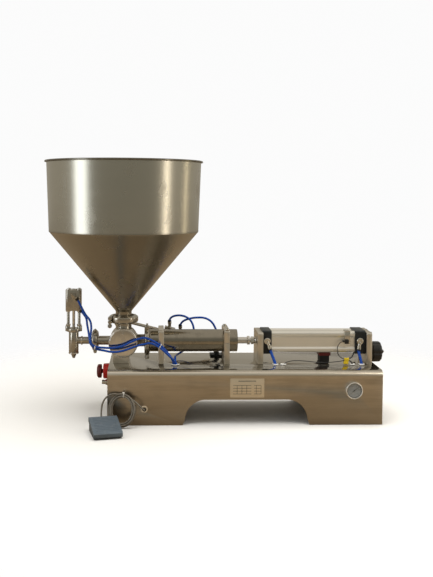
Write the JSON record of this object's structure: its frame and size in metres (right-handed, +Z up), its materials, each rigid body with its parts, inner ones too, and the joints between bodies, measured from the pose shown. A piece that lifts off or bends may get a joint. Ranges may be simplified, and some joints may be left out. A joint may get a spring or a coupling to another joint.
{
  "type": "piston liquid filler",
  "caption": "Bench piston liquid filler: conical steel hopper over a rotary valve, metering barrel, air cylinder, nozzle head, folded base and a foot pedal on a coiled lead.",
  "frame": {"origin": "middle of the base's footprint, on the surface it stands on", "axes": "+X from the nozzle to the handwheel, +Y to the back, +Z up"},
  "size_m": [0.9505, 0.4711, 0.702],
  "materials": {
    "base_sheet": "satin warm stainless sheet",
    "hopper_steel": "brushed stainless",
    "machined_steel": "machined stainless",
    "plate_steel": "brushed plate",
    "polished_steel": "polished",
    "profile_alloy": "satin anodised",
    "black_cap": "black anodised",
    "black_plastic": "satin",
    "red_plastic": "gloss",
    "white_plastic": "matte",
    "grommet_plastic": "matte",
    "yellow_plastic": "matte",
    "blue_tube": "gloss polyurethane",
    "grey_cable": "matte",
    "pedal_cover": "painted cover",
    "seal_white": "matte ptfe",
    "carriage_paint": "matte",
    "clear_glass": "clear"
  },
  "bodies": {
    "frame": {"base_shell": "base_sheet", "end_panel_left": "base_sheet", "end_panel_right": "base_sheet", "nameplate": "machined_steel", "gauge_case": "polished_steel", "gauge_glass": "clear_glass", "cable_grommet": "grommet_plastic", "deck_grommets": "white_plastic", "estop_body": "red_plastic", "air_inlet": "polished_steel", "valve_stand": "machined_steel", "valve_body": "machined_steel", "valve_cover": "polished_steel", "hopper_shell": "hopper_steel", "hopper_cone": "hopper_steel", "hopper_clamp": "machined_steel", "outlet_clamp": "machined_steel", "nozzle_body": "machined_steel", "nozzle_yoke": "machined_steel", "nozzle_cylinder": "machined_steel", "barrel": "machined_steel", "barrel_head": "black_cap", "barrel_clamp": "machined_steel", "bracket_front": "plate_steel", "bracket_rear": "plate_steel", "bracket_cap": "plate_steel", "plate_left": "plate_steel", "plate_right": "plate_steel", "cap_left": "black_cap", "cap_right": "black_cap", "cylinder_profile": "profile_alloy", "cylinder_fittings": "polished_steel", "reed_switch": "profile_alloy", "cable_tag": "yellow_plastic", "actuator_body": "machined_steel", "actuator_mount": "machined_steel", "nozzle_tubes": "blue_tube", "actuator_tubes": "blue_tube", "cylinder_tubes": "blue_tube", "sensor_wires": "grey_cable", "pedal_base": "black_plastic", "pedal_lead": "grey_cable", "pedal_coil": "grey_cable", "panel_lead": "grey_cable", "coil_tie": "white_plastic", "solenoid_bank": "profile_alloy"},
    "piston": {"piston": "machined_steel", "piston_seals": "seal_white", "piston_rod": "polished_steel", "air_piston": "profile_alloy"},
    "valve": {"valve_plug": "polished_steel", "valve_crank": "machined_steel"},
    "drive": {"actuator_rod": "polished_steel"},
    "needle": {"nozzle_needle": "polished_steel"},
    "wheel": {"stroke_screw": "machined_steel", "handwheel": "black_plastic"},
    "carriage": {"stroke_carriage": "carriage_paint"},
    "treadle": {"pedal_treadle": "pedal_cover"},
    "button": {"estop_button": "red_plastic"},
    "pointer": {"gauge_needle": "black_plastic"}
  },
  "joints": [
    {"name": "piston_stroke", "type": "slide", "parent": "frame", "child": "piston", "axis": [-1, 0, 0], "range_m": [0, 0.19]},
    {"name": "valve_turn", "type": "hinge", "parent": "frame", "child": "valve", "pos_m": [-0.3285, 0, 0.203], "axis": [0, 1, 0], "range_deg": [0, 90]},
    {"name": "drive_slide", "type": "slide", "parent": "frame", "child": "drive", "axis": [0.9701, 0, -0.2425], "range_m": [0, 0.0826]},
    {"name": "needle_lift", "type": "slide", "parent": "frame", "child": "needle", "axis": [0, 0, 1], "range_m": [0, 0.012]},
    {"name": "wheel_turn", "type": "hinge", "parent": "frame", "child": "wheel", "pos_m": [0.38, 0, 0.1715], "axis": [1, 0, 0], "range_deg": [-3240, 8640]},
    {"name": "carriage_slide", "type": "slide", "parent": "frame", "child": "carriage", "axis": [1, 0, 0], "range_m": [-0.121, 0.046]},
    {"name": "treadle_press", "type": "hinge", "parent": "frame", "child": "treadle", "pos_m": [-0.37575, -0.16303, 0.0255], "axis": [0.9744, 0.225, 0], "range_deg": [0, 3], "stiffness_Nm_per_rad": 1.5, "springref_deg": -5.73},
    {"name": "button_press", "type": "slide", "parent": "frame", "child": "button", "axis": [1, 0, 0], "range_m": [0, 0.0035], "stiffness_N_per_m": 800, "springref_m": -0.004},
    {"name": "pointer_turn", "type": "hinge", "parent": "frame", "child": "pointer", "pos_m": [0.2893, -0.125, 0.0922], "axis": [0, 1, 0], "range_deg": [-187, 83], "stiffness_Nm_per_rad": 0.001}
  ],
  "couplings": [
    {"joint": "drive_slide", "follows": "valve_turn", "m_per_rad": 0.052497},
    {"joint": "carriage_slide", "follows": "wheel_turn", "m_per_rad": -0.00079577}
  ]
}
